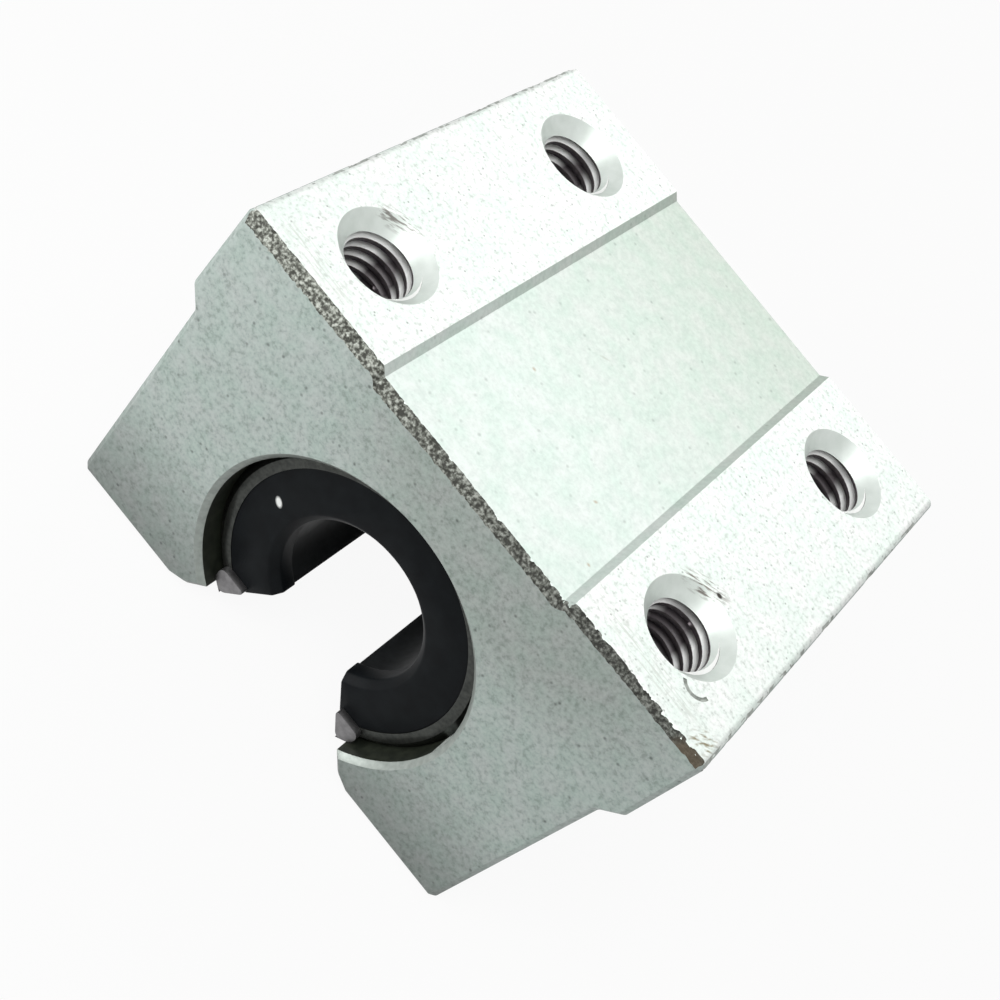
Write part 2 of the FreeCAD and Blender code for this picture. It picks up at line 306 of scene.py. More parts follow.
def blasted_aluminium(name, colours, roughness, pit_spacing, pit_dark, marks=()):
    """Colours run from dark to pale, pits lie so many mm apart and darken to a share."""
    material, tree, shader, place = new_finish(name, {"Metallic": 0.6, "Roughness": roughness})
    grain = add_node(
        tree, "ShaderNodeTexNoise", {"Scale": per(GRAIN_SIZE), "Detail": 3.0, "Roughness": 0.65},
        {"Vector": place},
    )
    cloud = add_node(
        tree, "ShaderNodeTexNoise", {"Scale": per(CLOUD_SIZE), "Detail": 4.0}, {"Vector": place}
    )
    pits = add_node(tree, "ShaderNodeTexVoronoi", {"Scale": per(pit_spacing)}, {"Vector": place})
    dark, mid, pale = colours
    skin = add_node(
        tree, "ShaderNodeValToRGB", links={"Fac": grain.outputs["Fac"]},
        stops=[(0.32, dark), (0.64, pale), (0.46, mid)],
    )
    tint = add_node(
        tree, "ShaderNodeValToRGB", links={"Fac": cloud.outputs["Fac"]},
        stops=[(0.36, TINTS[0]), (0.64, TINTS[1])],
    )
    pit_edge = add_node(
        tree, "ShaderNodeMapRange",
        {"From Min": PIT_INSIDE, "From Max": PIT_OUTSIDE, "To Min": pit_dark},
        {"Value": pits.outputs["Distance"]},
    )
    tinted = add_node(
        tree, "ShaderNodeVectorMath", operation="MULTIPLY",
        links={0: skin.outputs["Color"], 1: tint.outputs["Color"]},
    )
    pitted = add_node(
        tree, "ShaderNodeVectorMath", operation="MULTIPLY",
        links={0: tinted.outputs["Vector"], 1: pit_edge.outputs["Result"]},
    )
    colour = pitted.outputs["Vector"]
    for spot in marks:
        colour = tint_spot(tree, place, under=colour, **spot)
    height = add_node(
        tree, "ShaderNodeMath", operation="ADD",
        links={0: grain.outputs["Fac"], 1: pit_edge.outputs["Result"]},
    )
    bump = add_node(
        tree, "ShaderNodeBump", {"Strength": 0.3, "Distance": CRATER_HEIGHT * MM},
        {"Height": height.outputs["Value"]},
    )
    tree.links.new(colour, shader.inputs["Base Color"])
    tree.links.new(bump.outputs["Normal"], shader.inputs["Normal"])
    return material


def mark(colour, x, y, length, width, angle=0.0, streak=None):
    """A mark on the mounting face, in mm, as settings for tint_spot."""
    return {
        "colour": colour, "middle": (x, y, TOP), "reach": (length, width, MARK_HEIGHT),
        "turn": (0, 0, angle), "streak": streak,
    }


def shade_film(colour, middle, reach):
    """A darkening laid over what lies under it within an ellipsoid, in mm, as settings for
    tint_spot; here it is painted shade.
    """
    return {"colour": colour, "middle": middle, "reach": reach, "blend": "MULTIPLY"}


# Dark rubbed streaks on the rear rims of the two front holes, an olive smear at the right-hand
# corner, and short scratches along the front edge, where the block slid on the bench.
rim_scuffs = [
    mark("#86847F", -13.9, -7.5, 1.7, 0.8, 0.5, 5.0),
    mark("#77736C", 11.5, -6.95, 1.9, 0.8, 0.47, 5.0),
]
pad_scuffs = rim_scuffs + [
    mark("#2E2A26", 12.4, -6.6, 0.26, 0.2),
    mark("#857F69", 17.0, -14.8, 1.1, 0.9, 0.8, 4.0),
    mark("#BDC3BD", -14.0, -14.6, 3.5, 0.9, 0.0, 6.0),
    mark("#BDC3BD", 12.5, -14.2, 4.5, 1.0, 0.0, 6.0),
]
# Painted shade: a darkening that fades from the bottom of the feet up to the axis, all round the
# block. A fainter patch of painted shade lies under the middle of the torn edge.
painted_shade_films = [
    shade_film("#C2C0C0", (0, 0, -18.9), (EVERYWHERE, EVERYWHERE, 18.9)),
    shade_film("#ECEAE9", (4.5, -16, 14.0), (14.0, 2.0, 9.0)),
]
# Dull grey with a greenish cast and a quiet grain.
anodised = blasted_aluminium(
    "bead-blasted anodised aluminium", ("#8E9994", "#A1ABA7", "#ACB6B2"), 0.55, 0.9, 0.5,
    painted_shade_films,
)
# Paler than the ends: painted light, for the brighter light and glare on the mounting face.
pad_painted_light = blasted_aluminium(
    "blasted mounting face aluminium, painted light", ("#BAC0BB", "#D4D9D6", "#DEE3DF"), 0.55, 0.6, 0.45,
    pad_scuffs,
)
# Smoother and a little greener, with almost no pits: the groove keeps the drawn skin. It is darker
# towards the rear, which is painted shade. A few specks of dirt lie on its floor.
groove_shade_and_specks = [
    # Painted shade, darker towards the rear.
    shade_film("#E7E9E4", (0, 45.3, TOP), (EVERYWHERE, 53.3, EVERYWHERE)),
    mark("#A79F8F", -3.3, -6.1, 0.22, 0.17),
    mark("#A9AFA6", -1.6, -0.6, 0.55, 0.12, 0.6),
    mark("#A79F8F", 4.35, -9.1, 0.24, 0.16, 0.8),
    mark("#A79F8F", 6.6, -12.65, 0.2, 0.15),
]
groove_skin = blasted_aluminium(
    "drawn groove aluminium", ("#BAC4BF", "#C1CAC5", "#C8D1CC"), 0.5, 1.0, 0.75, groove_shade_and_specks
)
print("aluminium finishes:", anodised.name, pad_painted_light.name, groove_skin.name)

# %% [markdown]
# ## Torn edge
# Where the saw left the bar the front edge is torn: dark pits beside bright torn grains of 0.2 to
# 0.4 mm, darker towards the right, with an olive-brown stain at that end. Noise gives the grains,
# and the x of the Object coordinates gives the darkening.

# %% Torn edge finish
TEAR_SIZE = 0.19
TEAR_HEIGHT = 0.06
# The torn strip darkens towards the right between these x, in mm, down to this share.
DARKER_FROM, DARKER_TO = -10, 10
DARKEST_SHARE = 0.45
# Coarse grey grit that breaks the bright edge.
torn_edge, tree, shader, place = new_finish(
    "torn sawn aluminium", {"Metallic": 0.3, "Roughness": 0.6}
)
tear = add_node(
    tree, "ShaderNodeTexNoise", {"Scale": per(TEAR_SIZE), "Detail": 3.0}, {"Vector": place}
)
torn = add_node(
    tree, "ShaderNodeValToRGB", links={"Fac": tear.outputs["Fac"]},
    stops=[(0.40, "#34352F"), (0.66, "#AEB2AA"), (0.51, "#676A62")],
)
across = add_node(tree, "ShaderNodeSeparateXYZ", links={"Vector": place})
rightward_darkening = add_node(
    tree, "ShaderNodeMapRange",
    {"From Min": DARKER_FROM * MM, "From Max": DARKER_TO * MM, "To Min": 1.0, "To Max": DARKEST_SHARE},
    {"Value": across.outputs["X"]},
)
darkened_tear = add_node(
    tree, "ShaderNodeVectorMath", operation="MULTIPLY",
    links={0: torn.outputs["Color"], 1: rightward_darkening.outputs["Result"]},
)
stained = tint_spot(
    tree, place, colour="#4C4436", under=darkened_tear.outputs["Vector"],
    middle=(17.0, -15.9, 14.4), reach=(1.4, 1.0, 1.0),
)
bump = add_node(
    tree, "ShaderNodeBump", {"Strength": 0.6, "Distance": TEAR_HEIGHT * MM},
    {"Height": tear.outputs["Fac"]},
)
tree.links.new(stained, shader.inputs["Base Color"])
tree.links.new(bump.outputs["Normal"], shader.inputs["Normal"])
print("torn edge:", torn_edge.name)

# %% [markdown]
# ## Threads, countersinks, bore and opening
# The holes were tapped after anodising, so the threads are bare metal. The upward-facing flanks get
# a near-white colour, a painted highlight, and the rest of each thread a dark one, painted shade;
# the rear wall of each hole is darkened further with painted shade. The countersinks are smooth and
# pale. The bore and the walls of the opening are turned and milled; the bore is almost black from
# oil and painted shade, and the walls and the bore's end chamfers carry painted shade. All of these
# only drift between two near colours, so one function serves them.

# %% Machined aluminium finishes
HOLE_X, HOLE_Y = 12.5, 10.0
HOLES = [(x, y) for x in (-HOLE_X, HOLE_X) for y in (-HOLE_Y, HOLE_Y)]
HOLE_SHADE = "#4C4649"
# Painted shade on the rear wall of each hole, 2.4 mm behind its axis.
HOLE_SHADE_SPOTS = [
    {"colour": HOLE_SHADE, "middle": (x, y + 2.4, 11.1), "reach": (1.55, 2.0, 3.1)} for x, y in HOLES
]
# The front right-hand hole gets the most painted shade, on its left as well.
HOLE_SHADE_SPOTS.append({"colour": HOLE_SHADE, "middle": (11.6, -7.8, 11.2), "reach": (1.9, 2.0, 3.3)})
SMOOTH_CUT = {"Metallic": 0.4, "Roughness": 0.4}
BRIGHT_CUT = {"Metallic": 0.1, "Roughness": 0.35}
OILY = {"Metallic": 0.3, "Roughness": 0.4}
# Thin bright arcs on the upward flanks, a painted highlight, broken by the painted shade on the
# rear walls.
thread_painted_highlight = mottled_finish(
    "tapped aluminium, painted highlight", BRIGHT_CUT, 0.5, "#F6F8F5", "#FDFEFC", marks=HOLE_SHADE_SPOTS
)
# Dark bands between the bright arcs: painted shade on the crests, roots and downward flanks.
thread_painted_shade = mottled_finish("tapped aluminium, painted shade", SMOOTH_CUT, 0.5, "#5F585B", "#766E72")
# A pale, even ring round each hole, rubbed dark at the rear of the front ones.
countersink = mottled_finish(
    "smooth countersunk aluminium", SMOOTH_CUT, 0.8, "#D2DAD4", "#DEE5E0", marks=rim_scuffs
)
# A matt grey ring round each mouth of the bore, darker than the blasted skin: painted shade.
bore_chamfer_painted_shade = mottled_finish("turned bore chamfer, painted shade", SMOOTH_CUT, 0.4, "#868D88", "#99A09B")
# Small grey nicks in the bright long edges.
chipped_edge = mottled_finish("chipped aluminium edge", SMOOTH_CUT, 0.3, "#7F847E", "#AEB3AD")
# Almost black, with an olive cast: oil, and painted shade for the shadow in the bore.
bore_oil_and_shade = mottled_finish("turned bore, oil and painted shade", OILY, 0.6, "#1B1F19", "#2E3229")
# Dark dull grey beside the opening and on faces turned down under the feet: painted shade.
slot_wall_painted_shade = mottled_finish("milled opening wall, painted shade", OILY, 0.5, "#4A4F4C", "#636865")
print("machined finishes:", thread_painted_highlight.name, countersink.name, bore_oil_and_shade.name, "and four more")

# %% [markdown]
# ## The housing
# The block starts as a merged copy of the CAD solid. Blasting rounds every edge a little,
# so a narrow bevel goes round all the sharp ones; without it the edges would look like
# cut paper, because nothing real has a perfectly sharp corner. All its finishes go into
# its slots now, so that a cutter can hand on the finish of the surface that it leaves.

# %% Housing copy with soft edges
FINISHES = [
    anodised, pad_painted_light, groove_skin, torn_edge, chipped_edge, thread_painted_shade, thread_painted_highlight,
    countersink, bore_chamfer_painted_shade, bore_oil_and_shade, slot_wall_painted_shade,
]
HOUSING_SOFTENING = 0.07


def take_finishes(piece, finish):
    """Gives a piece all the slots, and one of the finishes on every face."""
    for one in FINISHES:
        piece.data.materials.append(one)
    for face in piece.data.polygons:
        face.material_index = FINISHES.index(finish)


def cut(piece, cutter, finish):
    """Takes a cutter out of a piece; the new faces get the finish."""
    take_finishes(cutter, finish)
    apply_modifier(piece, "BOOLEAN", operation="DIFFERENCE", solver="EXACT", object=cutter)
    bpy.data.objects.remove(cutter)
    print(piece.name, len(piece.data.polygons), "faces after a cut with", finish.name)


housing = merged_copy("housing", "blasted_housing")
soften(housing, HOUSING_SOFTENING)
take_finishes(housing, anodised)
print("housing:", len(housing.data.polygons), "faces after softening")

# %% [markdown]
# ## Torn and chipped edges
# The saw tore a rough, dark strip along the front top edge, and handling chipped the two
# long top edges. A cutter with a rough face does what the saw did: a grid is laid along
# the edge, made rough with Displace and a clouds texture, and extruded outwards into a
# block. Subtracted, it leaves a ragged outline as well as a rough face. The clouds texture
# is fixed in space, so every run gives the same chips.

# %% Rough cutters
FRONT = cad_box[0].y / MM
HALF_WIDTH = cad_box[1].x / MM
HALF_LENGTH = cad_box[1].y / MM
GROOVE_DEPTH = 0.45
GROOVE_HALF = 7.15
EDGE_ROUND = 0.5
PAST_END = 0.4
# The torn strip reaches back from the edge, stands out a little before and above the block,
# and falls by the first of the two drops at the left and by the second at the right.
TEAR_BACK, TEAR_OUT, TEAR_ABOVE = 0.40, 0.06, 0.08
TEAR_DROP_LEFT, TEAR_DROP_RIGHT = 1.05, 0.55
# Chips lie on this arc of the rounded long edges, in degrees, just outside the metal.
CHIPS_FROM, CHIPS_SWEEP = -8, 72
CHIPS_CLEAR = 0.01
CHIPS_PAST_END = 0.3
CUTTER_DEPTH = 0.9
CLOUD_DETAIL = 2


def rough_cutter(name, divisions, place, outwards, layers):
    """A block with a rough face: place gives a point in mm for each (u, v) of the grid.

    Each layer of roughness is a feature and a depth, both in mm.
    """
    bpy.ops.object.select_all(action="DESELECT")
    bpy.ops.mesh.primitive_grid_add(
        x_subdivisions=divisions[0], y_subdivisions=divisions[1], size=1
    )
    block = bpy.context.object
    block.name = name
    for vertex in block.data.vertices:
        vertex.co = Vector(place(vertex.co.x + 0.5, vertex.co.y + 0.5)) * MM
    for feature, depth in layers:
        clouds = bpy.data.textures.new(name, "CLOUDS")
        clouds.noise_scale = feature * MM
        clouds.noise_depth = CLOUD_DETAIL
        apply_modifier(
            block, "DISPLACE", texture=clouds, strength=depth * MM, mid_level=0.5,
            texture_coords="LOCAL",
        )
    edit_all(block)
    bpy.ops.mesh.extrude_region_move(TRANSFORM_OT_translate={"value": Vector(outwards) * MM})
    bpy.ops.mesh.select_all(action="SELECT")
    bpy.ops.mesh.normals_make_consistent(inside=False)
    done_editing()
    return block


def sawn_line(u, v):
    """Across the front top edge, which dips with the groove; the tear narrows to the right."""
    x = (u - 0.5) * 2 * (HALF_WIDTH + PAST_END)
    dip = min(max((GROOVE_HALF + GROOVE_DEPTH - abs(x)) / GROOVE_DEPTH, 0), 1) * GROOVE_DEPTH
    drop = TEAR_DROP_LEFT + (TEAR_DROP_RIGHT - TEAR_DROP_LEFT) * u
    back = TEAR_BACK - (TEAR_BACK + TEAR_OUT) * v
    fall = -TEAR_ABOVE + (drop + TEAR_ABOVE) * v
    return x, FRONT + back, TOP - dip - fall


saw = rough_cutter(
    "saw", (340, 14), sawn_line, (0, -CUTTER_DEPTH, CUTTER_DEPTH), [(0.28, 0.12), (1.3, 0.06)]
)
cut(housing, saw, torn_edge)


def long_edge(u, v, side):
    """Round the outer part of the rounded top edge of one side, just outside it."""
    angle = math.radians(CHIPS_FROM + CHIPS_SWEEP * v)
    reach = EDGE_ROUND + CHIPS_CLEAR
    x = side * (HALF_WIDTH - EDGE_ROUND + reach * math.cos(angle))
    y = (u - 0.5) * 2 * (HALF_LENGTH + CHIPS_PAST_END)
    return x, y, TOP - EDGE_ROUND + reach * math.sin(angle)


for side in (-1, 1):
    knock = rough_cutter(
        "knock", (200, 6), lambda u, v: long_edge(u, v, side),
        (side * CUTTER_DEPTH, 0, CUTTER_DEPTH), [(0.5, 0.28 * side), (2.0, 0.24 * side)],
    )
    cut(housing, knock, chipped_edge)

# %% [markdown]
# ## Tapped threads
# Each hole is tapped with a 5 mm thread of 0.8 mm pitch. A tap is a helix, so the cutter
# is one too: a small four-sided section is swept up a helix with the Screw modifier,
# closed at both ends, copied to the four holes, and taken out of the block by a Boolean.
# Its root is kept a little shallow, as a worn tap leaves it.

# %% Thread cutter
THREAD_RADIUS = 2.45
HOLE_RADIUS = 2.1
PITCH = 0.8
THREAD_TURNS = 12
THREAD_STEPS = 40
THREAD_DEPTH = 9.5
FLANK_SLOPE = math.tan(math.radians(30))
# The cutter starts inside the hole, and its root is flat over a sixteenth of the pitch each way.
INTO_HOLE = 0.12
ROOT_SHARE = 1 / 16


def helical_bar(name, inner, outer, inner_half, outer_half, pitch, turns):
    """A closed bar with a four-sided section (radii and half heights in mm), swept round Z."""
    bpy.ops.object.select_all(action="DESELECT")
    bpy.ops.mesh.primitive_plane_add(size=MM)
    bar = bpy.context.object
    bar.name = name
    corners = [(inner, -inner_half), (outer, -outer_half), (inner, inner_half), (outer, outer_half)]
    for vertex, (radius, height) in zip(bar.data.vertices, corners):
        vertex.co = Vector((radius, 0, height)) * MM
    edit_all(bar)
    bpy.ops.mesh.delete(type="ONLY_FACE")
    done_editing()
    apply_modifier(
        bar, "SCREW", axis="Z", screw_offset=pitch * MM, iterations=turns,
        steps=THREAD_STEPS, render_steps=THREAD_STEPS,
    )
    edit_all(bar)
    bpy.ops.mesh.remove_doubles(threshold=SAME_POINT)
    bpy.ops.mesh.fill_holes(sides=4)
    bpy.ops.mesh.normals_make_consistent(inside=False)
    done_editing()
    return bar


root_half = PITCH * ROOT_SHARE
mouth = HOLE_RADIUS - INTO_HOLE
mouth_half = root_half + (THREAD_RADIUS - mouth) * FLANK_SLOPE
tap = helical_bar("tap", mouth, THREAD_RADIUS, mouth_half, root_half, PITCH, THREAD_TURNS)
taps = []
for x, y in HOLES:
    copy = own_copy(tap, "tap")
    copy.data.transform(Matrix.Translation(Vector((x, y, TOP - THREAD_DEPTH)) * MM))
    taps.append(copy)
bpy.data.objects.remove(tap)
cut(housing, join(taps), thread_painted_shade)

# %% [markdown]
# ## A scar beside one hole
# A curled chip was pressed into the mounting face beside the front right-hand hole and left
# a hooked groove. A small ring is spun round the hook's middle into a bent bar, which dips
# into the face and is taken out of it. Seen from above, Blender's spin turns clockwise.

# %% Scar cutter
SCAR_MIDDLE = (14.80, -12.40)
SCAR_RADIUS = 0.85
SCAR_FROM, SCAR_SWEEP = 350, 135
SCAR_BAR = 0.13
SCAR_LIFT = 0.05
SCAR_SIDES, SCAR_STEPS = 10, 20

bpy.ops.object.select_all(action="DESELECT")
bpy.ops.mesh.primitive_circle_add(vertices=SCAR_SIDES, radius=SCAR_BAR * MM)
scar = bpy.context.object
on_edge = Matrix.Rotation(math.pi / 2, 4, "X")
aside = Matrix.Translation(Vector((SCAR_RADIUS, 0, 0)) * MM)
turned = Matrix.Rotation(math.radians(SCAR_FROM), 4, "Z")
scar_middle = Vector((*SCAR_MIDDLE, TOP + SCAR_LIFT)) * MM
scar.data.transform(Matrix.Translation(scar_middle) @ turned @ aside @ on_edge)
edit_all(scar)
bpy.ops.mesh.select_mode(type="VERT")
bpy.ops.mesh.select_all(action="SELECT")
bpy.ops.mesh.spin(
    steps=SCAR_STEPS, angle=math.radians(SCAR_SWEEP), center=scar_middle, axis=(0, 0, 1)
)
bpy.ops.mesh.select_all(action="SELECT")
bpy.ops.mesh.fill_holes(sides=SCAR_SIDES)
bpy.ops.mesh.normals_make_consistent(inside=False)
done_editing()
cut(housing, scar, chipped_edge)

# %% [markdown]
# ## Finishes on the housing
# One piece carries several finishes, so its other faces are sorted into the material slots by where
# they are and which way they face: hole walls near a hole's axis, the groove's floor by its level,
# the bore by its radius. Faces turned up on the top take the pad's paler colour, which is painted
# light; thread flanks turned up take a painted highlight, and faces beside the opening or turned
# down under the feet take painted shade. Everything else keeps the blasted skin. Torn faces are
# shaded flat, and so are the big plane faces, which would otherwise pick up slanted normals at
# their edges.

# %% Sorting the faces
BORE_RADIUS = 9.51
SINK_RADIUS, SINK_DEPTH = 3.2, 1.05
SINK_SLOPE = math.sqrt(0.5)
OPENING_HALF, OPENING_TOP = 8.8, -6.5
FOOT_LEVEL = -8.0
# Slack for telling levels, radii and directions apart.
LEVEL_SLACK, RADIUS_SLACK, SLOPE_SLACK = 0.02, 0.1, 0.12
SQUARE_ON = 0.95
BIG_FACE = 10.0


def finish_of(middle, normal):
    """The finish for a face, from its middle in mm and its direction."""
    from_hole = min(math.hypot(middle.x - x, middle.y - y) for x, y in HOLES)
    if from_hole < SINK_RADIUS and middle.z < TOP - LEVEL_SLACK and normal.z < SQUARE_ON:
        sink = middle.z > TOP - SINK_DEPTH and abs(normal.z - SINK_SLOPE) < SLOPE_SLACK
        outside_thread = from_hole > THREAD_RADIUS + RADIUS_SLACK
        return countersink if sink or outside_thread else thread_painted_shade
    # Faces turned up on the top: the pad's paler colour is painted light.
    if normal.z > 0.6 and middle.z > TOP - GROOVE_DEPTH - 0.1:
        between_walls = abs(middle.x) < GROOVE_HALF + GROOVE_DEPTH + 0.05
        return groove_skin if between_walls and middle.z < TOP - 0.01 else pad_painted_light
    radius = math.hypot(middle.x, middle.z)
    facing_axis = -(normal.x * middle.x + normal.z * middle.z) / max(radius, 0.01)
    # The bore's near-black colour is oil and painted shade.
    if abs(radius - BORE_RADIUS) < 0.3 and facing_axis > 0.9:
        return bore_oil_and_shade
    # The bore's end chamfers take a darker grey, painted shade.
    at_mouth = abs(middle.y) > HALF_LENGTH - 0.5 and 0.3 < abs(normal.y) < SQUARE_ON
    if at_mouth and abs(radius - BORE_RADIUS) < 0.6:
        return bore_chamfer_painted_shade
    # Walls beside the opening and faces turned down under the feet take the dark wall colour, which
    # is painted shade.
    in_opening = abs(middle.x) < OPENING_HALF and middle.z < OPENING_TOP
    beside_opening = in_opening and radius > BORE_RADIUS + 0.4
    under_edge = normal.z < -0.3 and middle.z < FOOT_LEVEL
    along_block = abs(normal.y) < SQUARE_ON
    return slot_wall_painted_shade if along_block and (beside_opening or under_edge) else anodised


# Thread faces turned up take the near-white colour, a painted highlight; the rest of the thread
# keeps the dark one, painted shade.
for face in housing.data.polygons:
    if FINISHES[face.material_index] is thread_painted_shade and face.normal.z > 0.5:
        face.material_index = FINISHES.index(thread_painted_highlight)
    if FINISHES[face.material_index] is anodised:
        face.material_index = FINISHES.index(finish_of(face.center / MM, face.normal))
smooth(housing)
shape = bmesh.new()
shape.from_mesh(housing.data)
for edge in shape.edges:
    if len({face.material_index for face in edge.link_faces}) > 1:
        edge.smooth = False
for face in shape.faces:
    finish = FINISHES[face.material_index]
    big_plane = face.calc_area() > BIG_FACE * MM * MM and finish is not bore_oil_and_shade
    if big_plane or finish in (torn_edge, chipped_edge):
        face.smooth = False
shape.to_mesh(housing.data)
shape.free()
stands_for(housing, "anodised_aluminium", "housing")

# %% [markdown]
# ## Steel, resin and rubber finishes
# The sleeve is ground bearing steel dulled by preserving oil, and the tips of the end rings
# are paler pressed steel. The balls are lapped until they mirror, the cage is moulded
# acetal, the seals are moulded nitrile rubber and the set screw is blackened.

# %% Bearing finishes
DARK_STEEL = {"Metallic": 1.0, "Roughness": 0.36}
PRESSED_STEEL = {"Metallic": 1.0, "Roughness": 0.45}
MIRROR_STEEL = {"Metallic": 1.0, "Roughness": 0.08}
RESIN = {"Roughness": 0.42, "Specular IOR Level": 0.3}
RUBBER = {"Roughness": 0.48, "Specular IOR Level": 0.07}
BLACKENED = {"Metallic": 0.8, "Roughness": 0.4}
ALONG_SHAFT = (1.0, 0.08, 1.0)

# A dark grey rim with a soft gleam and fine lines along the shaft, from grinding.
bearing_steel = mottled_finish(
    "oiled bearing steel", DARK_STEEL, 0.25, "#393B39", "#4A4C49", 0.005, ALONG_SHAFT
)
# Mid grey and a little uneven, so the tips stand out beside the black seal.
ring_steel = mottled_finish("pressed ring steel", PRESSED_STEEL, 0.4, "#706F70", "#858485", 0.01)
# A clear mirror that shows as points of light in the cage.
ball_steel = mottled_finish("lapped ball steel", MIRROR_STEEL, 0.7, "#B9BCBE", "#D2D4D5")
# Black with a satin sheen from the mould.
cage_resin = mottled_finish("moulded black acetal", RESIN, 0.5, "#121314", "#1C1E1F", 0.02)
# Sooty black with a dull metal gleam.
screw_steel = mottled_finish("black-oxide screw steel", BLACKENED, 0.3, "#1C1C1D", "#303031", 0.01)

# Deep matt black, a little bluish where the rubber blooms, with one pale fleck of dirt.
BLOOM_SIZE = 1.2
seal_rubber, tree, shader, place = new_finish("moulded nitrile rubber", RUBBER)
bloom = add_node(
    tree, "ShaderNodeTexNoise", {"Scale": per(BLOOM_SIZE), "Detail": 4.0}, {"Vector": place}
)
rubber = add_node(
    tree, "ShaderNodeValToRGB", links={"Fac": bloom.outputs["Fac"]},
    stops=[(NOISE_LOW, "#0A0C0E"), (NOISE_HIGH, "#111416")],
)
fleck = tint_spot(
    tree, place, colour="#D8DAD8", under=rubber.outputs["Color"], middle=(-6.75, -14.5, 1.10),
    reach=(0.26, 0.4, 0.42), turn=(0, math.radians(-45), 0),
)
tree.links.new(fleck, shader.inputs["Base Color"])
print("bearing finishes:", bearing_steel.name, ball_steel.name, seal_rubber.name, "and three more")

# %% [markdown]
# ## Sleeve, rings, cage and seals
# These are right in the CAD model and only too sharp. Each is copied, merged and given a
# narrow round on its edges, which is where real parts catch the light. The tips of the two
# rings were tumbled after pressing, so their corners get a wider round first.

# %% Softened bearing parts
SOFTENED = [
    ("bearing_sleeve", "ground_sleeve", bearing_steel, "bearing_steel", 0.06),
    ("end_ring_front", "pressed_ring_front", ring_steel, "bearing_steel", 0.08),
    ("end_ring_rear", "pressed_ring_rear", ring_steel, "bearing_steel", 0.08),
    ("seal_front", "moulded_seal_front", seal_rubber, "seal_rubber", 0.10),
    ("seal_rear", "moulded_seal_rear", seal_rubber, "seal_rubber", 0.10),
    ("ball_cage", "moulded_cage", cage_resin, "cage_resin", 0.05),
]
SLEEVE_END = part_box("bearing_sleeve")[1].y / MM
TIP_ROUND = 0.42
NEARLY = 0.01


def select_edges(piece, wanted):
    """Goes into edit mode with only those edges selected whose two ends, in mm, are wanted."""
    edit_all(piece)
    bpy.ops.mesh.select_mode(type="EDGE")
    bpy.ops.mesh.select_all(action="DESELECT")
    done_editing()
    points = [vertex.co / MM for vertex in piece.data.vertices]
    for edge in piece.data.edges:
        edge.select = wanted(*(points[end] for end in edge.vertices))
    bpy.ops.object.mode_set(mode="EDIT")


def along_tip(one, other):
    """True for an edge through the thickness of a ring's tip, outside the sleeve's end."""
    aside = math.hypot(one.x - other.x, one.z - other.z)
    return aside < NEARLY and min(abs(one.y), abs(other.y)) > SLEEVE_END - NEARLY


for node, name, finish, slot, rounding in SOFTENED:
    piece = merged_copy(node, name)
    if finish is ring_steel:
        select_edges(piece, along_tip)
        bpy.ops.mesh.bevel(offset=TIP_ROUND * MM, segments=4, affect="EDGES")
        done_editing()
    soften(piece, rounding)
    piece.data.materials.append(finish)
    smooth(piece)
    stands_for(piece, slot, node)

# %% [markdown]
# ## Balls
# Each circuit in the CAD model is a row of faceted balls. A copy of the circuit is split
# into its loose balls, only to read their middles. One round ball is then made from a cube
# that is divided and cast to a sphere, which has no poles, and it is copied to each middle.

# %% Round balls
BALL_RADIUS = 1.0
BALL_CUTS = 5

bpy.ops.object.select_all(action="DESELECT")
bpy.ops.mesh.primitive_cube_add(size=2 * BALL_RADIUS * MM)
ball = bpy.context.object
edit_all(ball)
bpy.ops.mesh.subdivide(number_cuts=BALL_CUTS)
done_editing()
apply_modifier(
    ball, "CAST", cast_type="SPHERE", factor=1.0, radius=0.0, use_radius_as_size=False,
    size=BALL_RADIUS * MM,
)

for row in ("left", "top", "right"):
    node = f"ball_circuit_{row}"
    loose = merged_copy(node, "loose_balls")
    edit_all(loose)
    bpy.ops.mesh.separate(type="LOOSE")
    done_editing()
    balls = []
    for part in list(bpy.context.selected_objects):
        corners = [Vector(corner) for corner in part.bound_box]
        copy = own_copy(ball, f"lapped_balls_{row}")
        copy.data.transform(Matrix.Translation(sum(corners, Vector()) / len(corners)))
        balls.append(copy)
        bpy.data.objects.remove(part)
    print(node, "has", len(balls), "balls")
    circuit = join(balls)
    circuit.name = circuit.data.name = f"lapped_balls_{row}"
    circuit.data.materials.append(ball_steel)
    smooth(circuit)
    stands_for(circuit, "ball_steel", node)
bpy.data.objects.remove(ball)

# %% [markdown]
# ## Set screw
# A headless screw with a 4 mm thread and a hexagon socket. Its thread is cut from outside
# with the same kind of helical cutter, laid along X.

# %% Threaded set screw
SCREW_PITCH = 0.7
SCREW_TURNS = 10
SCREW_ROOT = 1.57
SCREW_OUTSIDE = 2.05
DIE_LEAD = 0.3

inner_half = SCREW_PITCH * ROOT_SHARE
outer_half = inner_half + (SCREW_OUTSIDE - SCREW_ROOT) * FLANK_SLOPE
die = helical_bar(
    "die", SCREW_ROOT, SCREW_OUTSIDE, inner_half, outer_half, SCREW_PITCH, SCREW_TURNS
)
along_x = Matrix.Rotation(math.pi / 2, 4, "Y")
start = Matrix.Translation((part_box("set_screw")[0].x - DIE_LEAD * MM, 0, 0))
die.data.transform(start @ along_x)
screw = merged_copy("set_screw", "headless_screw")
screw.data.materials.append(screw_steel)
apply_modifier(screw, "BOOLEAN", operation="DIFFERENCE", solver="EXACT", object=die)
bpy.data.objects.remove(die)
smooth(screw)
stands_for(screw, "screw_steel", "set_screw")

# %% [markdown]
# ## Camera
# The camera stands where the photograph was taken, fitted to the block's corners, with the
# picture turned so that the block lies on the slant. Its three axes are worked out from the
# two angles of sight and the turn, and go into its matrix as columns.

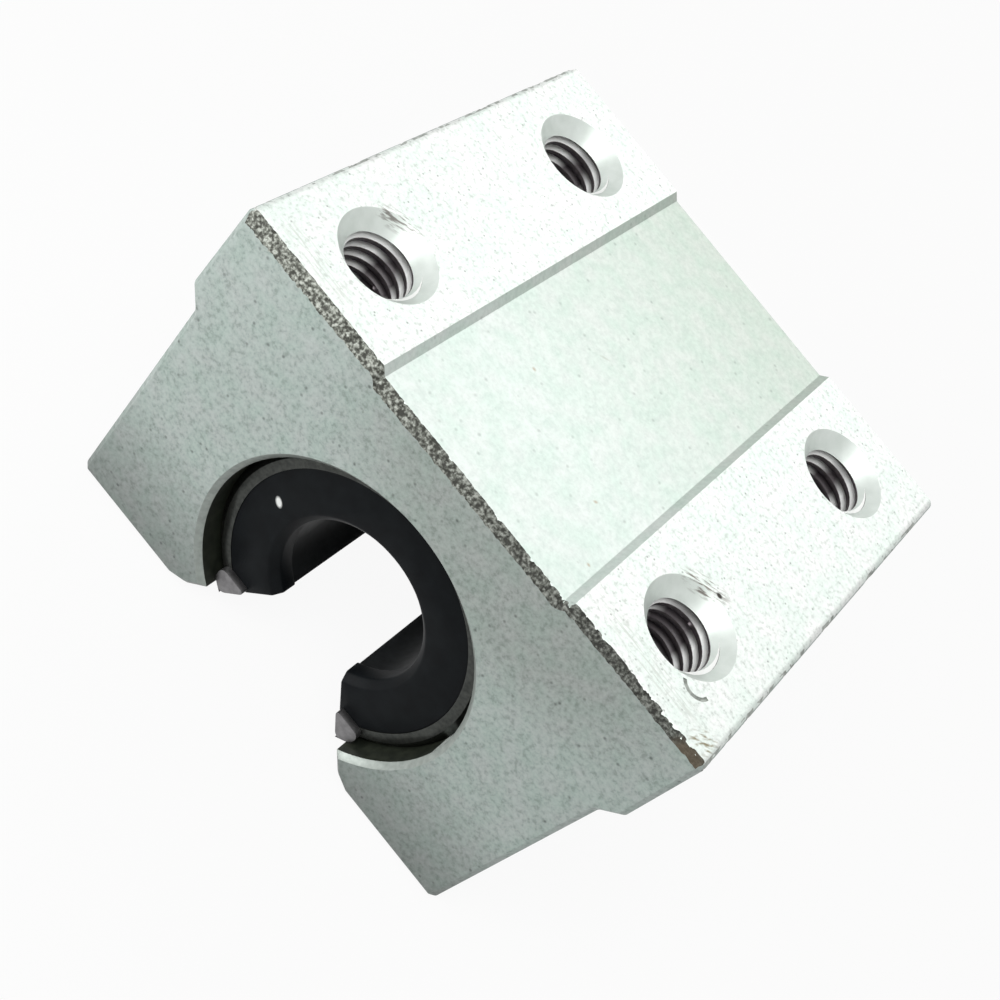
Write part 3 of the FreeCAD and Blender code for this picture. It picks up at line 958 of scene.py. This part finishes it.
# %% Camera
AZIMUTH, ELEVATION, ROLL = (math.radians(angle) for angle in (2.401, 42.878, -49.351))
LENS, SENSOR = 60.719, 36
STANDPOINT = Vector((3.824, -76.759, 72.177)) * MM

back = Vector((
    math.sin(AZIMUTH) * math.cos(ELEVATION),
    -math.cos(AZIMUTH) * math.cos(ELEVATION),
    math.sin(ELEVATION),
))
level = (-back).cross(Vector((0, 0, 1))).normalized()
upright = level.cross(-back)
up = math.cos(ROLL) * upright + math.sin(ROLL) * level
right = (-back).cross(up)
camera_data = bpy.data.cameras.new("camera")
camera_data.sensor_width = SENSOR
camera_data.lens = LENS
camera_data.clip_start = MM
camera_data.clip_end = 10
camera = bpy.data.objects.new("camera", camera_data)
axes = Matrix((right, up, back)).transposed().to_4x4()
camera.matrix_world = Matrix.Translation(STANDPOINT) @ axes
bpy.context.scene.collection.objects.link(camera)
bpy.context.scene.camera = camera
print("camera", [round(value / MM, 2) for value in STANDPOINT])

# %% [markdown]
# ## Light
# A product photo has big soft lamps, which give pale metal a sheen and no hard shadow. One
# stands overhead in front, one behind lifts the mounting face, and a small one fills the
# left. A weak white sky does the rest. It looks fully white, straight or in a reflection,
# so the Light Path node tells rays that look at it from rays that light the block.

# %% Light
SKY_LIGHT = 0.18
bpy.context.scene.view_settings.view_transform = "Standard"


def seen_directly(tree):
    """1 for rays that look at a surface, straight or by reflection, 0 for rays that light it."""
    path = add_node(tree, "ShaderNodeLightPath")
    shiny = add_node(
        tree, "ShaderNodeMath", operation="MAXIMUM",
        links={0: path.outputs["Is Camera Ray"], 1: path.outputs["Is Glossy Ray"]},
    )
    seen = add_node(
        tree, "ShaderNodeMath", operation="MAXIMUM",
        links={0: shiny.outputs["Value"], 1: path.outputs["Is Transmission Ray"]},
    )
    return seen.outputs["Value"]


world = bpy.data.worlds.new("studio")
world.use_nodes = True
bpy.context.scene.world = world
sky = world.node_tree.nodes["Background"]
sky.inputs["Color"].default_value = (1, 1, 1, 1)
strength = add_node(
    world.node_tree, "ShaderNodeMapRange", {"To Min": SKY_LIGHT, "To Max": 1.0},
    {"Value": seen_directly(world.node_tree)},
)
world.node_tree.links.new(strength.outputs["Result"], sky.inputs["Strength"])


def soft_lamp(name, place, size, power):
    """A square lamp, in metres and watts, that faces the block."""
    data = bpy.data.lights.new(name, "AREA")
    data.shape = "SQUARE"
    data.size = size
    data.energy = power
    lamp = bpy.data.objects.new(name, data)
    lamp.location = place
    lamp.rotation_mode = "QUATERNION"
    lamp.rotation_quaternion = (-Vector(place)).to_track_quat("-Z", "Y")
    bpy.context.scene.collection.objects.link(lamp)
    print(name, power, "W")


soft_lamp("overhead", (-0.03, -0.14, 0.26), 0.20, 0.52)
soft_lamp("behind", (-0.02, 0.19, 0.19), 0.20, 0.26)
soft_lamp("left_fill", (-0.065, -0.075, 0.015), 0.05, 0.06)

# %% [markdown]
# ## Floor
# The block stands on white paper. Most of what the camera sees of it glows plain white, so
# that it joins the backdrop, and a small share is real matt paper, which keeps the shadow.
# It lies a hair below the feet, because two faces in one plane would flicker.

# %% Floor
FLOOR_SIZE = 3
FLOOR_WHITE = 0.93
FLOOR_GAP = 0.02
PAPER = "#CFCFCD"

bpy.ops.object.select_all(action="DESELECT")
bpy.ops.mesh.primitive_plane_add(
    size=FLOOR_SIZE, location=(0, 0, cad_box[0].z - FLOOR_GAP * MM)
)
floor = bpy.context.object
floor.name = "floor"
paper = bpy.data.materials.new("white paper floor")
paper.use_nodes = True
tree = paper.node_tree
tree.nodes.remove(tree.nodes["Principled BSDF"])
matt = add_node(tree, "ShaderNodeBsdfDiffuse", {"Color": linear(PAPER)})
glow = add_node(tree, "ShaderNodeEmission", {"Color": (1, 1, 1, 1), "Strength": 1.0})
share = add_node(
    tree, "ShaderNodeMath", {1: FLOOR_WHITE}, {0: seen_directly(tree)}, operation="MULTIPLY"
)
mixed = add_node(
    tree, "ShaderNodeMixShader",
    links={0: share.outputs["Value"], 1: matt.outputs["BSDF"], 2: glow.outputs["Emission"]},
)
tree.links.new(mixed.outputs["Shader"], tree.nodes["Material Output"].inputs["Surface"])
floor.data.materials.append(paper)
print("floor:", paper.name)
